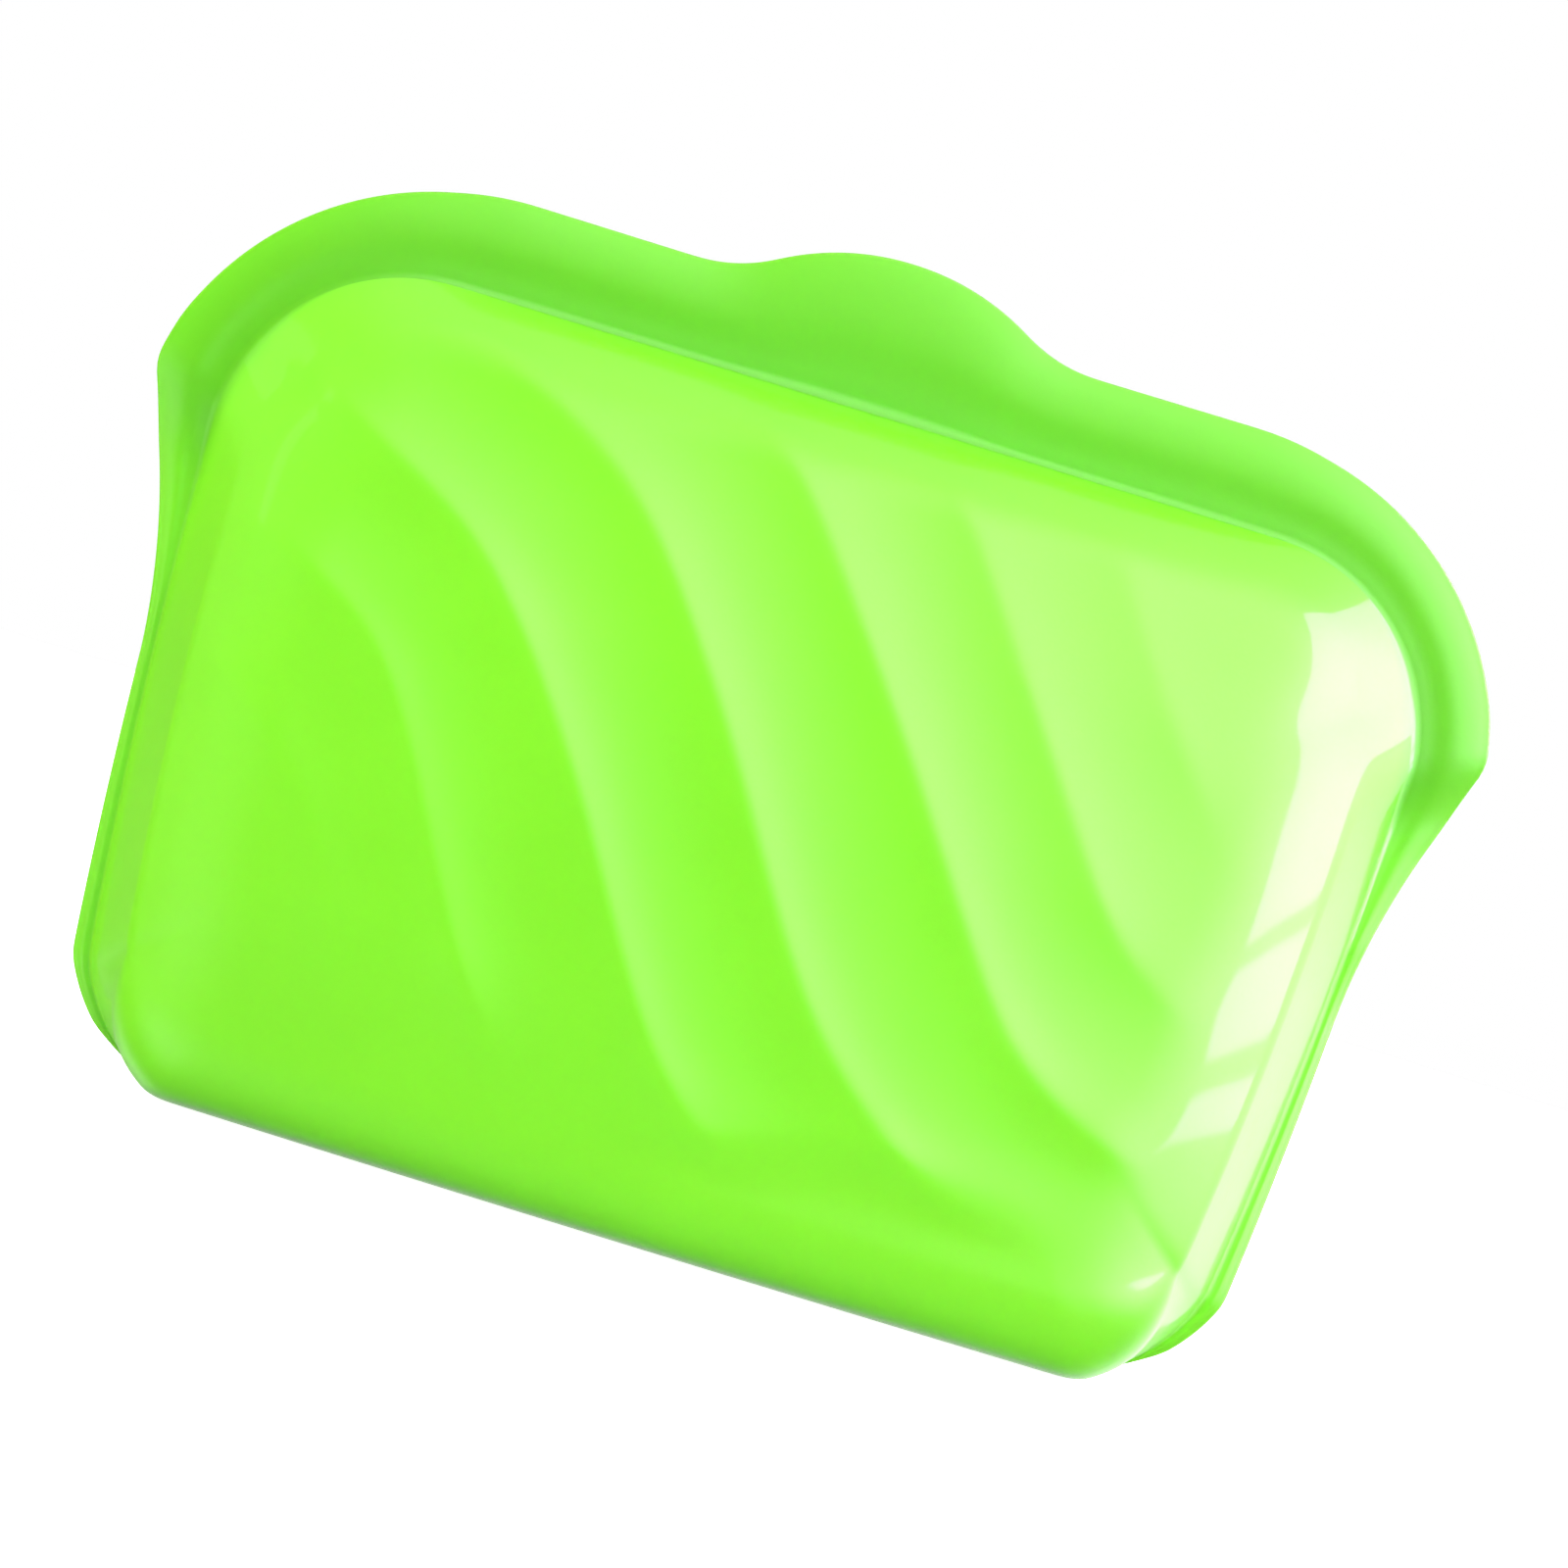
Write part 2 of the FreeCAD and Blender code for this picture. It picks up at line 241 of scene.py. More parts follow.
def edge_drop(inset):
    """How far the face rolls back towards its edge, on every spoke, at an inset from the outline."""
    side = SIDE_DROP * np.clip(1 - (inset - SIDE_EDGE) / SIDE_WIDTH, 0, 1) ** 2
    top = TOP_DROP * np.clip(1 - (inset - TOP_EDGE) / TOP_WIDTH, 0, 1) ** 2
    return shoulder_share * side + (1 - shoulder_share - foot_share) * top


# The crest of each wave, from its upper left end to its lower right end.
CRESTS = (
    ((-119, 79), (-103, 73), (-87, 67), (-79, 64), (-66, 54), (-55, 40), (-48, 22)),
    ((-119, 98), (-103, 92), (-87, 86), (-79, 83), (-64, 77.5), (-52, 65), (-34, 34), (-24, 19.8)),
    ((-104.8, 115.9), (-94.4, 111.7), (-84, 107.5), (-73.6, 103.3), (-63.7, 99), (-46.7, 89), (-26.9, 65),
     (-4.2, 29.7), (12.7, 12.7)),
    ((-71, 124.5), (-60.8, 120.3), (-43.9, 113), (-26.9, 102), (-7.1, 76.4), (12.7, 45.3), (26.9, 29.7), (55, 10.6)),
    ((-15.6, 121), (-4.2, 110.4), (18.4, 80.7), (38.2, 52.4), (48.1, 41), (59.4, 34), (72, 30)),
    ((12.7, 121), (21.2, 110.4), (41, 82), (56.6, 60.8), (67, 54)),
    ((38.2, 120.3), (45.3, 107.5), (55.2, 93.4), (64, 81)),
)
CREST_SHARES = (0.35, 0.7, 1.0, 1.0, 1.0, 0.8, 0.45)
WAVE_HEIGHT = 1.85
RISE = 9.0
FALL = 6.0
CREST_ROUNDING = 1.2
CREST_STEP = 0.5
CREST_PASSES = 120
# The waves fade in between these insets from the outline.
LEFT_FADE = (6, 12)
RIGHT_FADE = (14, 26)
TOP_FADE = (3, 8)


def crest_line(crest):
    """Heights up a crest and its place across at each, eased so that it bends evenly."""
    line = flowing(crest)[::-1]
    heights = np.arange(line[0, 1], line[-1, 1], CREST_STEP)
    across = np.interp(heights, line[:, 1], line[:, 0])
    for _ in range(CREST_PASSES):
        across[1:-1] = across[1:-1] / 2 + (across[:-2] + across[2:]) / 4
    return heights, across


crest_lines = [crest_line(crest) for crest in CRESTS]


def wave_height(x, z):
    """The relief: each wave climbs slowly from the left to a crisp crest and falls off quickly."""
    total = np.zeros_like(x)
    for crest, (heights, across), share in zip(CRESTS, crest_lines, CREST_SHARES):
        crest_x = np.interp(z, heights, across)
        lean = np.interp(z, heights, np.gradient(across, heights))
        beyond = z - np.clip(z, heights[0], heights[-1])
        away = (x - crest_x - lean * beyond) / np.sqrt(1 + lean * lean)
        shape = np.exp((CREST_ROUNDING - np.hypot(away, CREST_ROUNDING)) / np.where(away < 0, RISE, FALL))
        high, low = crest[0][1], crest[-1][1]
        ends = smooth(low - 8, low + 14, z) * (1 - smooth(high + 2, high + 30, z))
        total += share * shape * ends
    return WAVE_HEIGHT * total


def relief(x, z, inset):
    """The waves, faded out where the face rolls over to its edge, and further in on the right."""
    right = smooth(-30, 40, x)
    start, end = (left + (other - left) * right for left, other in zip(LEFT_FADE, RIGHT_FADE))
    side = smooth(start, end, inset)
    top = smooth(*TOP_FADE, inset)
    return wave_height(x, z) * (side + (top - side) * top_share)


# ------------------------------------------------------------------ one half of the pouch

PATCH_INSET = 30.0
PATCH_CORNER_RUN = 82.0
WALL = 1.6
SIDE_TURN, TOP_TURN, FOOT_TURN = 1.2, 3.0, 11.0
LONGEST_TURN = 0.85
TROUGH_DEPTH, TROUGH_END = 0.25, 0.55
ROLL_DEPTH, ROLL_START = 1.3, 0.3
FLANGE_STEPS = 12
# Painted shade: the flange's tone rises from 0, a painted shadow in its root trough, to this tone at its rim.
FLANGE_RIM_PAINTED_SHADE = 0.45
# Painted light: where the flange is thin its tone is lifted towards the wall colour, standing in for light shining
# through it.
THIN_FLANGE_PAINTED_GLOW = 0.8
# Painted shade: the wall's last rings before the flange darken towards the trough.
WALL_ROOT_PAINTED_SHADE = (0.95, 0.8, 0.5, 0.15)


def ring_at(inset, depth):
    """A ring of points at an inset along the spokes (negative is outwards) and at a depth."""
    inset = np.broadcast_to(np.asarray(inset, float), (LOOP,))
    inside = outline + spoke * np.maximum(inset, 0)[:, None]
    place = inside - outward * np.minimum(inset, 0)[:, None]
    return np.stack([place[:, 0], -np.broadcast_to(depth, (LOOP,)), place[:, 1]], 1)


def skin_depth(inset, thick):
    """Depth of the outer face (thick 0) or of the inner one, at an inset."""
    place = outline + spoke * np.broadcast_to(np.asarray(inset, float), (LOOP,))[:, None]
    depth = face_depth(place[:, 0], place[:, 1]) - edge_drop(inset) - thick
    if thick == 0:
        depth = depth + relief(place[:, 0], place[:, 1], inset)
    return depth


def wall_rings(root, thick, face_steps, turn_steps, wall_steps):
    """Rings from the patch, over the face's edge and down the side wall to its root depth."""
    corner_inset = side_share * SIDE_EDGE + top_share * TOP_EDGE + thick
    turn = side_share * SIDE_TURN + top_share * TOP_TURN + foot_share * (FOOT_TURN - thick)
    rings = []
    for share in np.linspace(0, 1, face_steps):
        inset = PATCH_INSET + (corner_inset + turn - PATCH_INSET) * share
        rings.append(ring_at(inset, skin_depth(inset, thick)))
    corner_depth = skin_depth(corner_inset, thick)
    wall_length = np.hypot(corner_inset - thick, corner_depth - root)
    back = np.clip(turn / wall_length, 0, LONGEST_TURN)
    first = (corner_inset + turn, skin_depth(corner_inset + turn, thick))
    last = (corner_inset + (thick - corner_inset) * back, corner_depth + (root - corner_depth) * back)
    for share in np.linspace(0, 1, turn_steps + 1)[1:]:
        inset, depth = ((1 - share) ** 2 * start + 2 * share * (1 - share) * corner + share ** 2 * end
                        for start, corner, end in zip(first, (corner_inset, corner_depth), last))
        rings.append(ring_at(inset, depth))
    for share in np.linspace(0, 1, wall_steps + 1)[1:]:
        rings.append(ring_at(last[0] + (thick - last[0]) * share, last[1] + (root - last[1]) * share))
    return rings


def flange_rings(round_steps, parting_steps):
    """Rings across the flange: a trough along its root, a rolled-off front, its rim and parting face."""
    rings = []
    trough = TROUGH_DEPTH * np.clip(flange_width / 14, 0, 1)
    roll = ROLL_DEPTH * np.clip(flange_width / 6, 0, 1)
    half = (flange_thickness - roll) / 2
    flat = flange_width - half
    front = parting + flange_thickness
    for share in np.linspace(0, 1, FLANGE_STEPS + 1)[1:]:
        dip = math.sin(math.pi * min(share / TROUGH_END, 1.0)) ** 2
        fall = (max(share - ROLL_START, 0) / (1 - ROLL_START)) ** 2
        rings.append(ring_at(-flat * share, front - trough * dip - roll * fall))
    for angle in np.linspace(0, math.pi, round_steps + 1)[1:]:
        rings.append(ring_at(-flat - half * math.sin(angle), parting + half * (1 + math.cos(angle))))
    for share in np.linspace(0, 1, parting_steps + 1)[1:-1]:
        rings.append(ring_at(-flat * (1 - share) + WALL * share, parting))
    return rings


def patch(border, thick):
    """Fills the inside of a ring: a grid blended from its four sides. Gives points and their indices."""
    corner = round(PATCH_CORNER_RUN / np.hypot(*(outline[1] - outline[0])))
    half = LOOP // 2
    bottom = np.arange(-corner, corner + 1) % LOOP
    right = np.arange(corner, half - corner + 1)
    top = np.arange(half + corner, half - corner - 1, -1)
    left = np.arange(LOOP - corner, half + corner - 1, -1)
    across = np.linspace(0, 1, len(bottom))[None, :, None]
    up = np.linspace(0, 1, len(right))[:, None, None]
    low, high, near, far = (border[side][:, [0, 2]] for side in (bottom, top, left, right))
    sides = (1 - up) * low[None] + up * high[None] + (1 - across) * near[:, None] + across * far[:, None]
    corners = ((1 - across) * ((1 - up) * low[0] + up * high[0])
               + across * ((1 - up) * low[-1] + up * high[-1]))
    place = sides - corners
    depth = face_depth(place[..., 0], place[..., 1]) - thick
    if thick == 0:
        depth = depth + wave_height(place[..., 0], place[..., 1])
    points = np.stack([place[..., 0], -depth, place[..., 1]], 2)
    index = np.full(place.shape[:2], -1)
    index[0], index[-1], index[:, 0], index[:, -1] = bottom, top, left, right
    return points, index


def ring_painted_light_and_shade(outer, edge, inner):
    """Tones for so many rings of each kind, with painted light and shade: 0 at the flange's root, a painted shadow
    in its trough, more where it is thin, as painted light shining through, 1 on the walls, whose last rings are
    painted darker towards the root.
    """
    tones = np.ones((outer + edge + inner, LOOP))
    across = np.full((edge, 1), FLANGE_RIM_PAINTED_SHADE)
    # Painted shadow in the trough along the flange's root, fading over its front.
    across[:FLANGE_STEPS, 0] = np.linspace(0, FLANGE_RIM_PAINTED_SHADE, FLANGE_STEPS)
    # Painted light through the thin flange, lifting its painted shade.
    narrow = THIN_FLANGE_PAINTED_GLOW * (1 - smooth(3, 12, flange_width))
    tones[outer:outer + edge] = across + (1 - across) * narrow
    # Painted shade on the wall's foot, next to the flange's trough.
    wall = np.array(WALL_ROOT_PAINTED_SHADE)[:, None]
    tones[outer - len(wall):outer] = wall + (1 - wall) * tones[outer]
    return tones


def half_skin():
    """Points, faces and tones of the front half: outer face, flange, parting face and inner face."""
    outer = wall_rings(parting + flange_thickness, 0.0, 24, 10, 9)
    edge = flange_rings(8, 4)
    inner = wall_rings(parting, WALL, 12, 6, 6)[::-1]
    rings = outer + edge + inner
    tones = [ring_painted_light_and_shade(len(outer), len(edge), len(inner)).ravel()]
    points = [np.concatenate(rings)]
    count = len(rings) * LOOP
    around = np.arange(LOOP)
    onward = (around + 1) % LOOP
    faces = []
    for row in range(len(rings) - 1):
        start, end = row * LOOP, (row + 1) * LOOP
        faces.append(np.stack([start + around, start + onward, end + onward, end + around], 1))
    for ring, thick, first in ((rings[0], 0.0, 0), (rings[-1], WALL, (len(rings) - 1) * LOOP)):
        grid, index = patch(ring, thick)
        index = np.where(index >= 0, index + first, -1)
        inside = index < 0
        index[inside] = count + np.arange(inside.sum())
        points.append(grid[inside])
        tones.append(np.ones(inside.sum()))
        count += inside.sum()
        quads = np.stack([index[:-1, :-1], index[:-1, 1:], index[1:, 1:], index[1:, :-1]], 2).reshape(-1, 4)
        faces.append(quads if thick else quads[:, ::-1])
    return np.concatenate(points), np.concatenate(faces).tolist(), np.concatenate(tones)


# ------------------------------------------------------------------ meshes


MERGE_DISTANCE = 0.004 * MM


def mesh_object(name, points, faces, material, tones=None):
    """A smooth-shaded object from points in millimetres, cleaned of doubled points."""
    mesh = bpy.data.meshes.new(name)
    mesh.from_pydata((np.asarray(points) * MM).tolist(), [], faces)
    # Each point's tone, which carries painted shade and painted light, is kept for the material; pieces without
    # tones get 0, the darker flange colour.
    tone_and_painted_shade = mesh.attributes.new("tone_and_painted_shade", "FLOAT", "POINT")
    tone_and_painted_shade.data.foreach_set("value", np.zeros(len(points)) if tones is None else tones)
    work = bmesh.new()
    work.from_mesh(mesh)
    bmesh.ops.remove_doubles(work, verts=work.verts, dist=MERGE_DISTANCE)
    bmesh.ops.dissolve_degenerate(work, edges=work.edges, dist=MERGE_DISTANCE)
    bmesh.ops.recalc_face_normals(work, faces=work.faces)
    work.to_mesh(mesh)
    work.free()
    mesh.polygons.foreach_set("use_smooth", [True] * len(mesh.polygons))
    mesh.materials.append(material)
    piece = bpy.data.objects.new(name, mesh)
    bpy.context.scene.collection.objects.link(piece)
    return piece


def bead(path, section, end_steps=6):
    """A tube along an XZ path, rounded at both ends. The section is a loop of (across, depth) pairs."""
    along = np.gradient(path, axis=0)
    along /= np.hypot(*along.T)[:, None]
    across = np.stack([along[:, 1], -along[:, 0]], 1)
    middle = section.mean(0)
    points = []
    for index, place in enumerate(path):
        from_end = min(index, len(path) - 1 - index) + 1
        shape = middle + (section - middle) * math.sin(math.pi / 2 * min(from_end / end_steps, 1))
        flat = place + across[index] * shape[:, :1]
        points.append(np.stack([flat[:, 0], shape[:, 1], flat[:, 1]], 1))
    size, rows = len(section), len(points)
    faces = [[row * size + a, row * size + b, (row + 1) * size + b, (row + 1) * size + a]
             for row in range(rows - 1) for a, b in zip(range(size), [*range(1, size), 0])]
    faces += [list(range(size))[::-1], list(range((rows - 1) * size, rows * size))]
    return np.concatenate(points), faces


# ------------------------------------------------------------------ materials


def add_node(tree, kind, inputs, **settings):
    """A new node with its settings. Each input is set to a value, or linked to the socket given for it."""
    made = tree.nodes.new(kind)
    for name, value in settings.items():
        setattr(made, name, value)
    for key, value in inputs.items():
        if isinstance(value, bpy.types.NodeSocket):
            tree.links.new(value, made.inputs[key])
        else:
            made.inputs[key].default_value = value
    return made


def maths(tree, operation, *values):
    """The result of a maths node."""
    return add_node(tree, "ShaderNodeMath", dict(enumerate(values)), operation=operation).outputs["Value"]


def mapped(tree, value, low, high, value_low=0.0, value_high=1.0):
    """A value mapped, and kept, from one range to another."""
    inputs = {"Value": value, "From Min": value_low, "From Max": value_high, "To Min": low, "To Max": high}
    return add_node(tree, "ShaderNodeMapRange", inputs).outputs["Result"]


def mixed(tree, share, low, high):
    """A colour between two others."""
    inputs = {"Factor": share, "A": low, "B": high}
    return add_node(tree, "ShaderNodeMix", inputs, data_type="RGBA").outputs["Result"]


WALL_LIME = (0.262, 0.93, 0.014)
# The flange colour is darker than the wall's: partly painted shade of the set-back lip, partly the deeper colour of
# its two bonded layers.
SHADED_FLANGE_LIME = (0.130, 0.60, 0.002)
CLOUD_SHADE = 0.93


def silicone(name, gloss, speck):
    """Moulded silicone: a soft glow under a clear sheen, faintly cloudy, with fine mould texture.

    A mesh attribute runs from 0, the darker flange colour, to 1, the paler wall colour. The darker flange is partly
    painted shade of the set-back lip and partly the denser colour of its two bonded layers; within the flange the
    attribute also carries painted shade in the root trough and painted light where it is thin.
    """
    material = bpy.data.materials.new(name)
    material.use_nodes = True
    tree = material.node_tree
    shader = tree.nodes["Principled BSDF"]
    shader.subsurface_method = "RANDOM_WALK"
    for socket, value in (("Subsurface Weight", 0.35), ("Subsurface Radius", (0.6, 1.0, 0.25)),
                          ("Subsurface Scale", 0.004), ("IOR", 1.42), ("Specular IOR Level", 0.35),
                          ("Coat Weight", 0.4), ("Coat Roughness", 0.06)):
        shader.inputs[socket].default_value = value
    place = add_node(tree, "ShaderNodeTexCoord", {}).outputs["Object"]
    tone_and_painted_shade = add_node(tree, "ShaderNodeAttribute", {}, attribute_name="tone_and_painted_shade").outputs["Fac"]

    def noise(scale, detail, roughness=0.5):
        inputs = {"Vector": place, "Scale": scale, "Detail": detail, "Roughness": roughness}
        return add_node(tree, "ShaderNodeTexNoise", inputs).outputs["Fac"]

    cloud = mapped(tree, noise(22.0, 3.0), 0, 1, 0.3, 0.7)
    flange, wall = (mixed(tree, cloud, (*(CLOUD_SHADE * part for part in lime), 1), (*lime, 1))
                    for lime in (SHADED_FLANGE_LIME, WALL_LIME))
    tree.links.new(mixed(tree, tone_and_painted_shade, flange, wall), shader.inputs["Base Color"])
    tree.links.new(mapped(tree, noise(90.0, 4.0, 0.6), gloss - 0.05, gloss + 0.05), shader.inputs["Roughness"])
    fine = {"Strength": speck, "Distance": 0.00006, "Height": noise(1500.0, 3.0, 0.6)}
    grain = add_node(tree, "ShaderNodeBump", fine).outputs["Normal"]
    soft = {"Strength": 0.10, "Distance": 0.0006, "Height": noise(60.0, 2.0), "Normal": grain}
    tree.links.new(add_node(tree, "ShaderNodeBump", soft).outputs["Normal"], shader.inputs["Normal"])
    return material


skin_material = silicone("lime_silicone", 0.42, 0.25)
closure_material = silicone("closure_silicone", 0.34, 0.15)

# ------------------------------------------------------------------ the two halves

front_points, faces, tones = half_skin()
back_points = front_points * [1, -1, 1]

front_half = mesh_object("front_half", front_points, faces, skin_material, tones)
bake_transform(front_half)
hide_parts("front_wall_lower", "front_flex_band", "front_wall_upper", "front_lip", "front_tab",
            "left_side_seam", "right_side_seam", "base_panel")

back_half = mesh_object("back_half", back_points, faces, skin_material, tones)
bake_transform(back_half)
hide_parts("back_wall_lower", "back_flex_band", "back_wall_upper", "back_lip", "back_tab")

# ------------------------------------------------------------------ the closure

ZIP_END = edge_mm("zip_rib", 0, 2)
RIB_HALF_WIDTH = 1.3
ZIP_RADIUS = edge_mm("zip_rib", 1, 2) - ZIP_END - RIB_HALF_WIDTH
RAIL_STEP = 2.35
ZIP_ROWS = 260


def arch(radius):
    """The closure's path at a radius from the corners' centres, from the right ear to the left."""
    right = half_outline([
        (STRAIGHT_HALF + radius, ZIP_END, radius),
        (STRAIGHT_HALF, ZIP_END + radius, None),
        (0, ZIP_END + radius, None),
    ])
    whole = np.concatenate([right, right[:-1][::-1] * [-1, 1]])
    return evenly(whole, ZIP_ROWS)


def rounded(corners, passes=2):
    """A section loop with its corners cut and eased."""
    loop = np.array(corners, float)
    for _ in range(passes):
        ahead = np.roll(loop, -1, 0)
        loop = np.stack([0.75 * loop + 0.25 * ahead, 0.25 * loop + 0.75 * ahead], 1).reshape(-1, 2)
    return loop


# Sections are (across, depth towards the back), from the lip's inner face at -HALF_GAP or +HALF_GAP.
RIB_SECTION = rounded([(-1.6, -2.1), (-0.9, -1.3), (-0.9, -0.3), (-1.25, 0.2), (-1.1, 1.0), (-0.4, 1.3),
                       (0.4, 1.3), (1.1, 1.0), (1.25, 0.2), (0.9, -0.3), (0.9, -1.3), (1.6, -2.1)])
RAIL_SECTION = rounded([(-0.7, 2.1), (-0.62, 0.6), (-1.05, -0.3), (-0.95, -1.0), (0.0, -1.15), (0.62, -0.7),
                        (0.7, 2.1)])
closure_parts = (
    ("zip_rib_bead", "zip_rib", "front_mouth", 0.0, RIB_SECTION),
    ("zip_outer_rail_bead", "zip_outer_rail", "back_mouth", RAIL_STEP, RAIL_SECTION),
    ("zip_inner_rail_bead", "zip_inner_rail", "back_mouth", -RAIL_STEP, RAIL_SECTION * [-1, 1]),
)
for name, node, body, step, section in closure_parts:
    points, bead_faces = bead(arch(ZIP_RADIUS + step), section)
    strip = mesh_object(name, points, bead_faces, closure_material)
    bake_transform(strip)
    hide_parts(node)


def zip_stop(side):
    """The solid end of the closure in one ear: a plump rounded plug between the lips."""
    low, high = (np.array(corner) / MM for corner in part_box(f"{side}_zip_stop"))
    middle, half = (low + high) / 2, (high - low) / 2
    work = bmesh.new()
    bmesh.ops.create_cube(work, size=2.0)
    bmesh.ops.subdivide_edges(work, edges=work.edges, cuts=9, use_grid_fill=True)
    work.verts.index_update()
    ways = np.array([vert.co[:] for vert in work.verts])
    points = middle + half * ways / (np.abs(ways) ** 4).sum(1, keepdims=True) ** 0.25
    stop_faces = [[vert.index for vert in face.verts] for face in work.faces]
    work.free()
    plug = mesh_object(f"{side}_zip_plug", points, stop_faces, closure_material)
    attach(plug, "pouch")
    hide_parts(f"{side}_zip_stop")


zip_stop("left")
zip_stop("right")

# ------------------------------------------------------------------ floor, light and camera


FLOOR_BOUNCE = 0.68


def floor_material():
    """A matte, very pale floor that keeps its own brightness, so that shadows stay faint."""
    material = bpy.data.materials.new("pale_floor")
    material.use_nodes = True
    tree = material.node_tree
    shader = tree.nodes["Principled BSDF"]
    shader.inputs["Roughness"].default_value = 0.9
    shader.inputs["Emission Color"].default_value = (1, 1, 1, 1)
    seen = add_node(tree, "ShaderNodeLightPath", {}).outputs["Is Camera Ray"]
    grain = add_node(tree, "ShaderNodeTexNoise", {"Scale": 40.0}).outputs["Fac"]
    shade = maths(tree, "MULTIPLY", mapped(tree, grain, 0.90, 0.93), mapped(tree, seen, FLOOR_BOUNCE, 1.0))
    tree.links.new(shade, shader.inputs["Base Color"])
    tree.links.new(maths(tree, "MULTIPLY_ADD", seen, 0.85, 0.05), shader.inputs["Emission Strength"])
    return material


bpy.ops.mesh.primitive_plane_add(size=12, location=(0, 0, 0))
floor = bpy.context.object
floor.name = "floor"
floor.data.materials.append(floor_material())
floor.visible_glossy = False

SKY = 0.36
SKY_IN_GLOSS = 0.10
# Each glow has its direction, its strength and how narrow it is. The high ones end at the horizon.
HIGH_GLOWS = (
    ((0.74, -0.62, 0.20), 8.5, 5.0),
    ((1.0, -0.05, 0.1), 6.5, 5.0),
    ((0.20, -0.73, 0.65), 4.5, 12.0),
    ((0.1, -0.25, 0.96), 3.0, 4.0),
    ((-0.85, -0.45, 0.4), 0.6, 5.0),
)
LOW_GLOWS = (
    ((0.72, 0.68, 0.08), 3.3, 3.0),
    ((0.0, -0.6, -0.75), 0.8, 3.0),
    ((0.2, 0.6, -0.75), 0.3, 4.0),
    ((-0.7, -0.6, -0.4), 2.5, 14.0),
    ((-0.55, 0.62, -0.56), 1.3, 20.0),
)
HORIZON = (-0.32, -0.04)
BELOW_HORIZON = 0.1


def studio_world():
    """Even surroundings, white where they show, with very soft glows that only the gloss picks up."""
    world = bpy.data.worlds.new("studio")
    bpy.context.scene.world = world
    world.use_nodes = True
    tree = world.node_tree
    way = add_node(tree, "ShaderNodeTexCoord", {}).outputs["Generated"]

    def towards(direction):
        inputs = {0: way, 1: Vector(direction).normalized()}
        return add_node(tree, "ShaderNodeVectorMath", inputs, operation="DOT_PRODUCT").outputs["Value"]

    def glow_of(glows):
        total = 0.0
        for direction, strength, focus in glows:
            lobe = maths(tree, "POWER", maths(tree, "MAXIMUM", towards(direction), 0.0), focus)
            total = maths(tree, "MULTIPLY_ADD", lobe, strength, total)
        return total

    horizon = mapped(tree, towards((0, 0, 1)), BELOW_HORIZON, 1.0, *HORIZON)
    glow = maths(tree, "MULTIPLY_ADD", glow_of(HIGH_GLOWS), horizon, glow_of(LOW_GLOWS))
    path = add_node(tree, "ShaderNodeLightPath", {}).outputs
    even = maths(tree, "MULTIPLY_ADD", path["Is Glossy Ray"], SKY_IN_GLOSS - SKY, SKY)
    lit = maths(tree, "MULTIPLY_ADD", glow, path["Is Glossy Ray"], even)
    grounds = [add_node(tree, "ShaderNodeBackground", {"Color": (1, 1, 1, 1), "Strength": strength})
               for strength in (lit, 1.0)]
    inputs = {"Fac": path["Is Camera Ray"], 1: grounds[0].outputs[0], 2: grounds[1].outputs[0]}
    either = add_node(tree, "ShaderNodeMixShader", inputs).outputs["Shader"]
    tree.links.new(either, tree.nodes["World Output"].inputs["Surface"])


studio_world()


def soft_box(name, place, target, width, height, radiance, shows_in, tint=(1, 1, 1)):
    """A rectangular studio light that faces a point, and shows in diffuse light or in gloss."""
    lamp = bpy.data.lights.new(name, "AREA")
    lamp.shape = "RECTANGLE"
    lamp.size, lamp.size_y = width, height
    lamp.energy = radiance * math.pi * width * height
    lamp.color = tint
    box = bpy.data.objects.new(name, lamp)
    box.location = Vector(place)
    box.rotation_mode = "QUATERNION"
    box.rotation_quaternion = (Vector(target) - Vector(place)).to_track_quat("-Z", "Y")
    box.visible_camera = False
    box.visible_diffuse = shows_in == "diffuse"
    box.visible_glossy = shows_in == "gloss"
    bpy.context.scene.collection.objects.link(box)


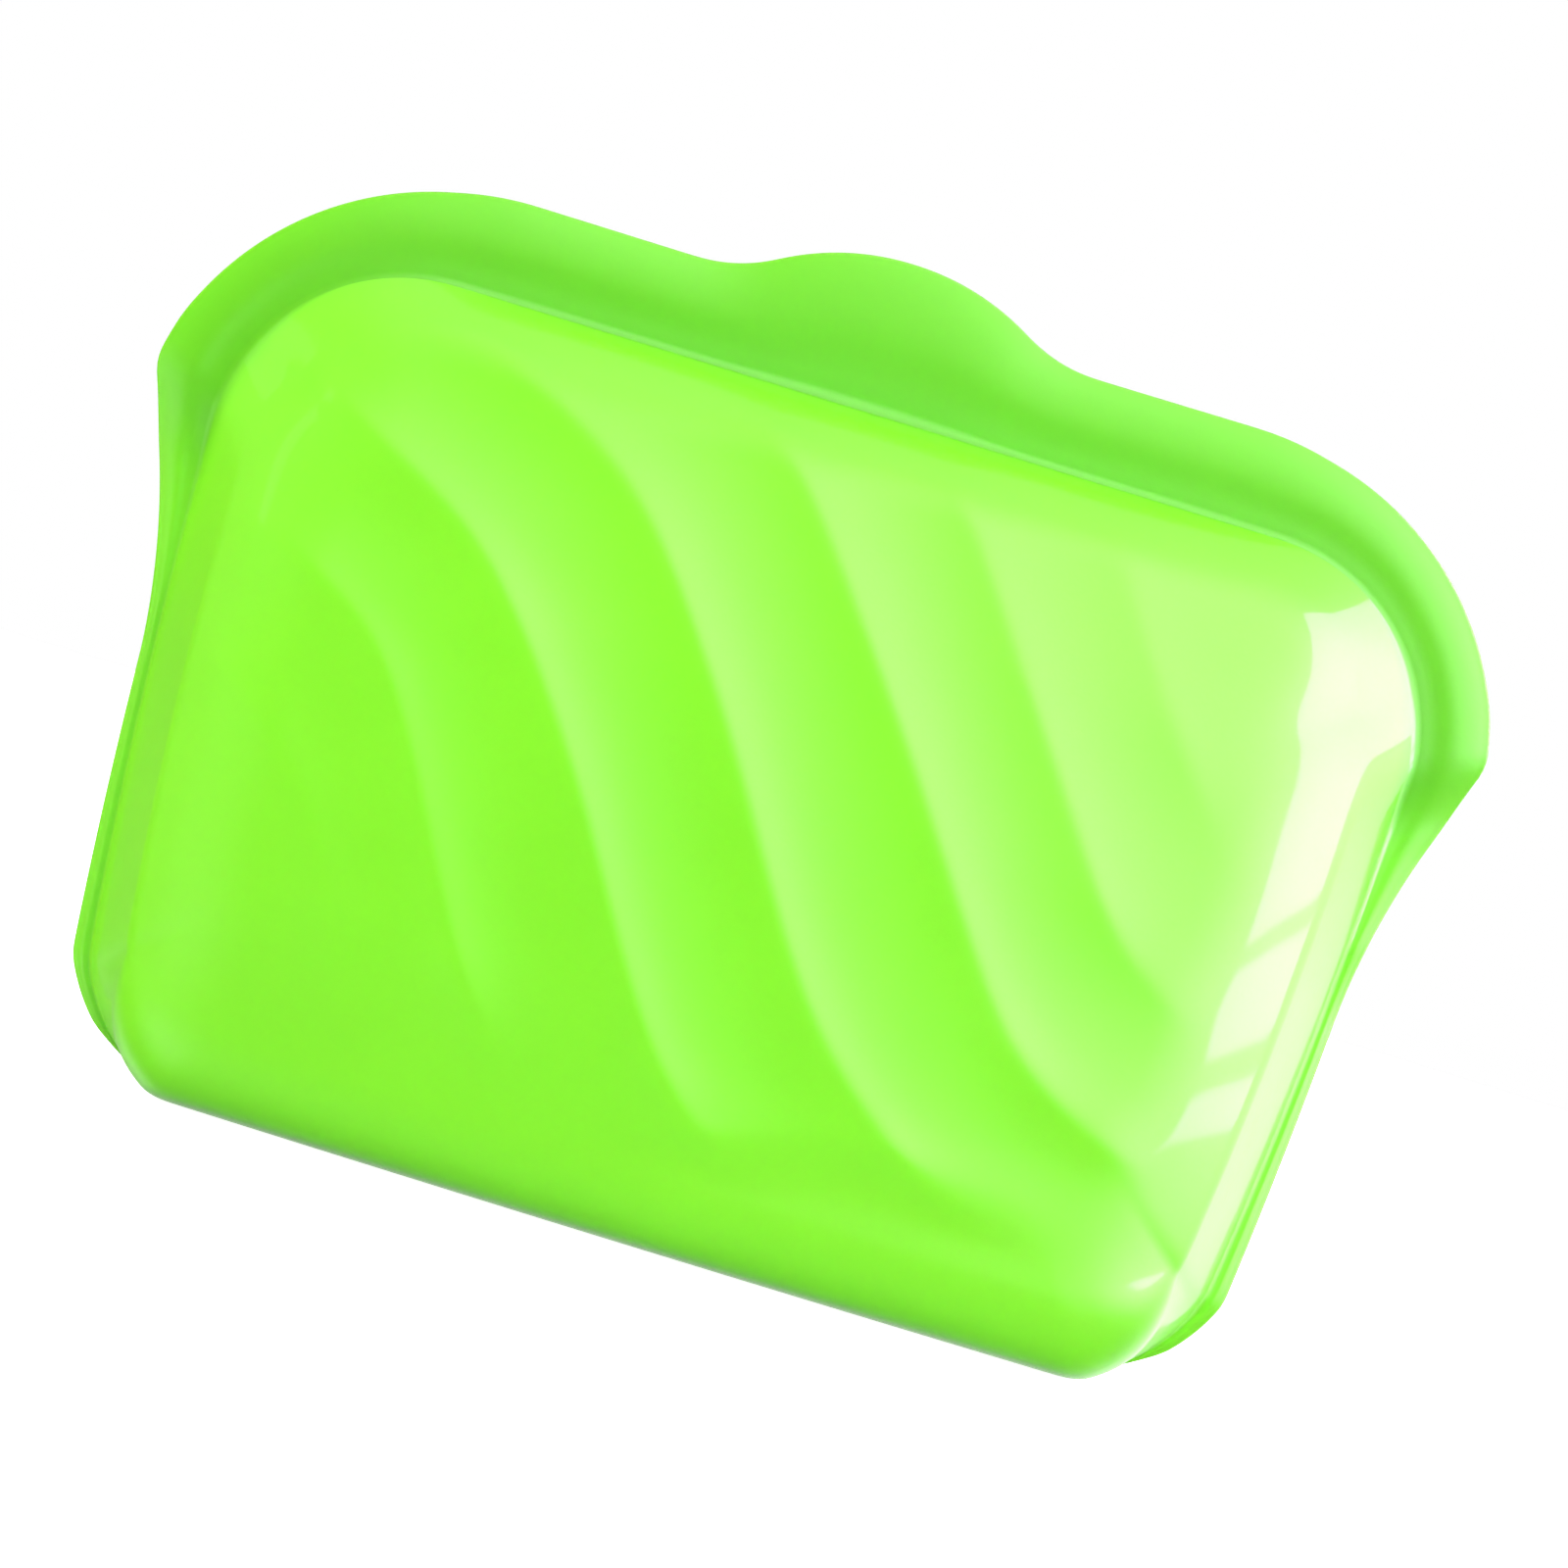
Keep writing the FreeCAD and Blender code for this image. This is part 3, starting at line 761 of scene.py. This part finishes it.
# Each soft box has its name, place and target, its width, height and radiance, and what it shows in.
SOFT_BOXES = (
    ("key", (0.38, -0.68, 0.38), (0, 0, 0.07), 0.4, 0.4, 4.7, "diffuse"),
    ("left_fill", (-1.3, -0.2, 0.45), (0, 0, 0.06), 1.0, 0.9, 3.4, "diffuse"),
    ("front_top", (0.1, -1.0, 1.2), (0, 0, 0.08), 1.2, 0.8, 1.4, "diffuse"),
    ("top", (0.0, 0.1, 1.4), (0, 0, 0.06), 1.2, 0.8, 1.2, "diffuse"),
    ("back_key", (-0.5, 0.7, 0.5), (0, 0, 0.07), 0.5, 0.4, 3.0, "diffuse"),
    ("back_window", (0.7, 1.1, 0.8), (0, 0, 0.07), 0.5, 0.5, 7.0, "gloss"),
)
for box in SOFT_BOXES:
    soft_box(*box)

# A window of three panes, tall above short, whose shine falls down the right of the front face,
# and a dim one whose shine touches its upper left corner.
WINDOW_AT = (0.976, -0.454)
WINDOW_WIDTH = 0.54
WINDOW_TINT = (0.80, 1.0, 1.04)
PANES = ((0.022, 0.085), (0.13, 0.26), (0.295, 1.6))
for index, (sill, head) in enumerate(PANES):
    middle = (sill + head) / 2
    soft_box(f"pane_{index + 1}", (*WINDOW_AT, middle), (0.085, 0, middle), WINDOW_WIDTH, head - sill, 16.0,
             "gloss", WINDOW_TINT)
soft_box("far_window", (-1.0, -0.41, 0.62), (-0.085, 0, 0.62), 0.24, 0.34, 1.2, "gloss")

CAMERA_AIM = (4.2, 0.0, 69.3)
VIEW_WIDTH = 226.4
LENS = 200.0
SENSOR = 36.0
ROLL = math.radians(17.1)
DISTANCE = VIEW_WIDTH * LENS / SENSOR
camera_data = bpy.data.cameras.new("camera")
camera_data.lens = LENS
camera_data.sensor_width = SENSOR
camera_data.clip_end = 100.0
camera = bpy.data.objects.new("camera", camera_data)
bpy.context.scene.collection.objects.link(camera)
rightward = (math.cos(ROLL), 0, math.sin(ROLL))
upward = (-math.sin(ROLL), 0, math.cos(ROLL))
backward = (0, -1, 0)
view = Matrix((rightward, upward, backward)).transposed().to_4x4()
view.translation = (CAMERA_AIM[0] * MM, -DISTANCE * MM, CAMERA_AIM[2] * MM)
camera.matrix_world = view
bpy.context.scene.camera = camera
bpy.context.scene.view_settings.view_transform = "Standard"
